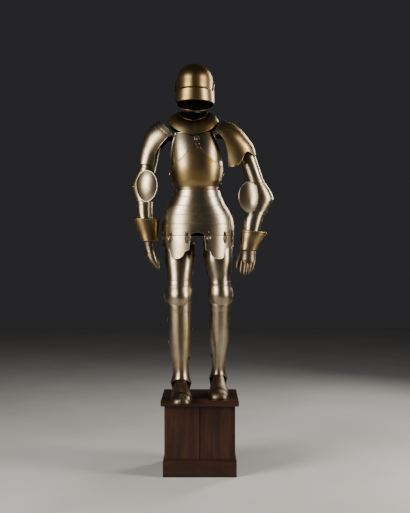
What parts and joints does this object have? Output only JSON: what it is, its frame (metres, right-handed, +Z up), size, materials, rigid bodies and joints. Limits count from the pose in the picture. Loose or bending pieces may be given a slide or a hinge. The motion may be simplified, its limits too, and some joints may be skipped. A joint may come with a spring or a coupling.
{
  "type": "suit of plate armour on a wooden plinth",
  "caption": "Hollow suit of polished steel plate armour with visored sallet, fauld and tassets, in a walking stance on a wooden plinth.",
  "frame": {"origin": "centre of the plinth's flat underside", "axes": "+Z up, -Y the way the armour faces, +X towards the armour's left hand"},
  "size_m": [0.7425, 0.4941, 2.129],
  "materials": {
    "polished_steel": "old polished plate, warm silver with fine scratches",
    "patinated_steel": "old polished plate with a golden brown patina",
    "dark_steel": "browned plate",
    "leather": "dark worn strap leather",
    "brass": "dull brass rivets and buckles",
    "wood": "reddish brown stained boards, satin"
  },
  "bodies": {
    "root": {"plinth_base": "wood", "plinth_body": "wood", "plinth_cap": "wood", "sallet_skull": "patinated_steel", "gorget_front": "patinated_steel", "gorget_back": "patinated_steel", "plackart": "patinated_steel", "spaudler_main_left": "patinated_steel", "gauntlet_cuff_right": "patinated_steel", "gauntlet_cuff_left": "patinated_steel", "breast_strap": "leather", "breastplate": "polished_steel", "backplate": "polished_steel", "fauld_lame_1": "polished_steel", "fauld_lame_2": "polished_steel", "fauld_lame_3": "polished_steel", "fauld_lame_4": "polished_steel", "fauld_lame_5": "polished_steel", "culet_lame_1": "polished_steel", "culet_lame_2": "polished_steel", "culet_lame_3": "polished_steel", "spaudler_upper_right": "polished_steel", "upper_cannon_right": "polished_steel", "couter_right": "polished_steel", "lower_cannon_right": "polished_steel", "cuisse_right": "polished_steel", "cuisse_back_right": "polished_steel", "knee_lame_upper_right": "polished_steel", "poleyn_right": "polished_steel", "knee_lame_lower_right": "polished_steel", "greave_front_right": "polished_steel", "greave_back_right": "polished_steel", "gauntlet_hand_right": "dark_steel", "sabaton_right": "dark_steel", "sabaton_toe_right": "dark_steel", "spaudler_upper_left": "polished_steel", "upper_cannon_left": "polished_steel", "couter_left": "polished_steel", "lower_cannon_left": "polished_steel", "cuisse_left": "polished_steel", "cuisse_back_left": "polished_steel", "knee_lame_upper_left": "polished_steel", "poleyn_left": "polished_steel", "knee_lame_lower_left": "polished_steel", "greave_front_left": "polished_steel", "greave_back_left": "polished_steel", "gauntlet_hand_left": "dark_steel", "sabaton_left": "dark_steel", "sabaton_toe_left": "dark_steel", "spaudler_main_right": "polished_steel"},
    "visor": {"sallet_visor": "patinated_steel"},
    "tasset_right": {"tasset_right": "polished_steel", "tasset_strap_inner_right": "leather", "tasset_strap_middle_right": "leather", "tasset_strap_outer_right": "leather"},
    "tasset_left": {"tasset_left": "polished_steel", "tasset_strap_inner_left": "leather", "tasset_strap_middle_left": "leather", "tasset_strap_outer_left": "leather"}
  },
  "joints": [
    {"name": "visor", "type": "hinge", "parent": "root", "child": "visor", "pos_m": [-0.028, 0, 2.015], "axis": [-0.9976, 0.0698, 0], "range_deg": [0, 50]},
    {"name": "tasset_right_swing", "type": "hinge", "parent": "root", "child": "tasset_right", "pos_m": [-0.1346, -0.1189, 1.2245], "axis": [-0.7931, 0.6091, 0], "range_deg": [0, 45]},
    {"name": "tasset_left_swing", "type": "hinge", "parent": "root", "child": "tasset_left", "pos_m": [0.1106, -0.1189, 1.2245], "axis": [-0.7931, -0.6091, 0], "range_deg": [0, 45]}
  ]
}
